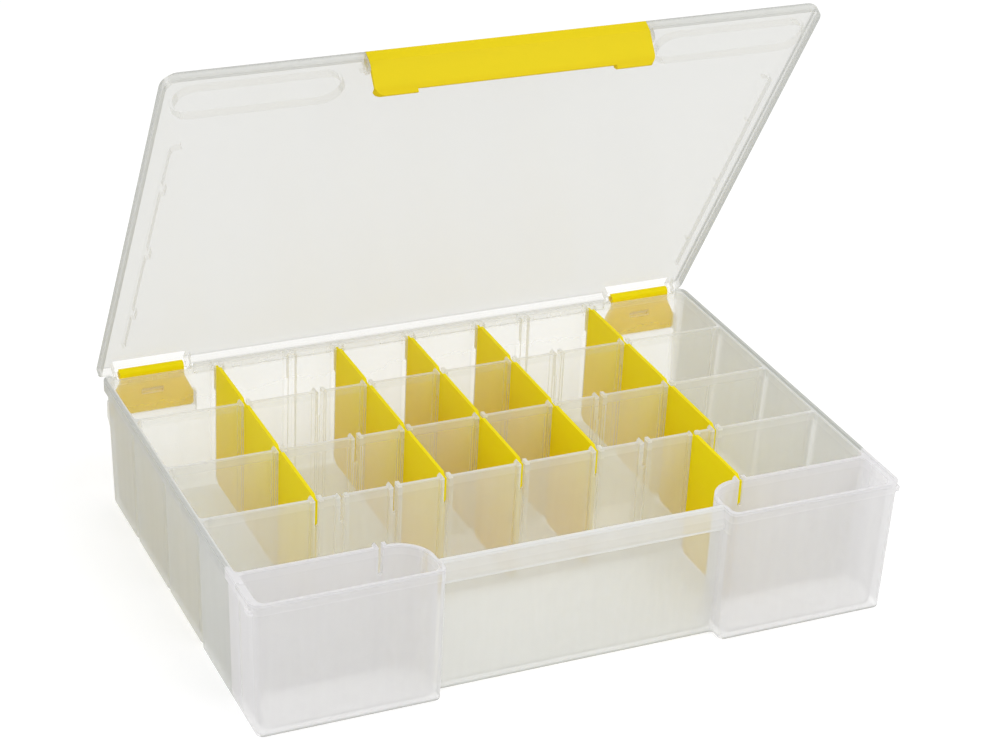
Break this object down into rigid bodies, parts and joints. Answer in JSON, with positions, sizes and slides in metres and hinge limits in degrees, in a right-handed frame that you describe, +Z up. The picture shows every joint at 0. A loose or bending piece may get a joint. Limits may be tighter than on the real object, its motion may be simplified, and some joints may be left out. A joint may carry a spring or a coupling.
{
  "type": "tackle tray",
  "caption": "Shallow frosted tackle tray with a hinged clear lid, a front latch, two corner bays, fixed partitions and lift-out dividers that stand in moulded slots.",
  "frame": {"origin": "middle of the tray's flat underside, under the middle of the tray's width and depth", "axes": "+X to the right seen from the front, +Y to the rear where the lid is hinged, +Z up; the front with the latch recess faces -Y"},
  "size_m": [0.357, 0.2543, 0.2931],
  "materials": {
    "frosted_plastic": "frosted translucent polypropylene, satin",
    "clear_plastic": "clear polypropylene, smooth",
    "yellow_plastic": "opaque moulded plastic, satin"
  },
  "bodies": {
    "base": {"base_tray": "frosted_plastic", "hinge_leaf_left": "yellow_plastic", "hinge_leaf_right": "yellow_plastic"},
    "lid": {"lid": "clear_plastic"},
    "latch": {"latch": "yellow_plastic"},
    "divider_rear_1": {"divider_rear_1": "yellow_plastic"},
    "divider_rear_2": {"divider_rear_2": "yellow_plastic"},
    "divider_rear_3": {"divider_rear_3": "yellow_plastic"},
    "divider_rear_4": {"divider_rear_4": "yellow_plastic"},
    "divider_rear_5": {"divider_rear_5": "yellow_plastic"},
    "divider_second_1": {"divider_second_1": "yellow_plastic"},
    "divider_second_2": {"divider_second_2": "yellow_plastic"},
    "divider_second_3": {"divider_second_3": "yellow_plastic"},
    "divider_second_4": {"divider_second_4": "yellow_plastic"},
    "divider_second_5": {"divider_second_5": "yellow_plastic"},
    "divider_third_1": {"divider_third_1": "yellow_plastic"},
    "divider_third_2": {"divider_third_2": "yellow_plastic"},
    "divider_third_3": {"divider_third_3": "yellow_plastic"},
    "divider_third_4": {"divider_third_4": "yellow_plastic"},
    "divider_third_5": {"divider_third_5": "yellow_plastic"},
    "divider_front": {"divider_front": "yellow_plastic"}
  },
  "joints": [
    {"name": "lid_hinge", "type": "hinge", "parent": "base", "child": "lid", "pos_m": [0, 0.1246, 0.0742], "axis": [-1, 0, 0], "range_deg": [-60, 55]},
    {"name": "latch_hinge", "type": "hinge", "parent": "lid", "child": "latch", "pos_m": [0, 0.0038, 0.28863], "axis": [-1, 0, 0], "range_deg": [0, 110]},
    {"name": "divider_rear_1_lift", "type": "slide", "parent": "base", "child": "divider_rear_1", "axis": [0, 0, 1], "range_m": [0, 0.014]},
    {"name": "divider_rear_2_lift", "type": "slide", "parent": "base", "child": "divider_rear_2", "axis": [0, 0, 1], "range_m": [0, 0.014]},
    {"name": "divider_rear_3_lift", "type": "slide", "parent": "base", "child": "divider_rear_3", "axis": [0, 0, 1], "range_m": [0, 0.014]},
    {"name": "divider_rear_4_lift", "type": "slide", "parent": "base", "child": "divider_rear_4", "axis": [0, 0, 1], "range_m": [0, 0.014]},
    {"name": "divider_rear_5_lift", "type": "slide", "parent": "base", "child": "divider_rear_5", "axis": [0, 0, 1], "range_m": [0, 0.014]},
    {"name": "divider_second_1_lift", "type": "slide", "parent": "base", "child": "divider_second_1", "axis": [0, 0, 1], "range_m": [0, 0.076]},
    {"name": "divider_second_2_lift", "type": "slide", "parent": "base", "child": "divider_second_2", "axis": [0, 0, 1], "range_m": [0, 0.076]},
    {"name": "divider_second_3_lift", "type": "slide", "parent": "base", "child": "divider_second_3", "axis": [0, 0, 1], "range_m": [0, 0.076]},
    {"name": "divider_second_4_lift", "type": "slide", "parent": "base", "child": "divider_second_4", "axis": [0, 0, 1], "range_m": [0, 0.076]},
    {"name": "divider_second_5_lift", "type": "slide", "parent": "base", "child": "divider_second_5", "axis": [0, 0, 1], "range_m": [0, 0.076]},
    {"name": "divider_third_1_lift", "type": "slide", "parent": "base", "child": "divider_third_1", "axis": [0, 0, 1], "range_m": [0, 0.076]},
    {"name": "divider_third_2_lift", "type": "slide", "parent": "base", "child": "divider_third_2", "axis": [0, 0, 1], "range_m": [0, 0.076]},
    {"name": "divider_third_3_lift", "type": "slide", "parent": "base", "child": "divider_third_3", "axis": [0, 0, 1], "range_m": [0, 0.076]},
    {"name": "divider_third_4_lift", "type": "slide", "parent": "base", "child": "divider_third_4", "axis": [0, 0, 1], "range_m": [0, 0.076]},
    {"name": "divider_third_5_lift", "type": "slide", "parent": "base", "child": "divider_third_5", "axis": [0, 0, 1], "range_m": [0, 0.076]},
    {"name": "divider_front_lift", "type": "slide", "parent": "base", "child": "divider_front", "axis": [0, 0, 1], "range_m": [0, 0.076]}
  ]
}
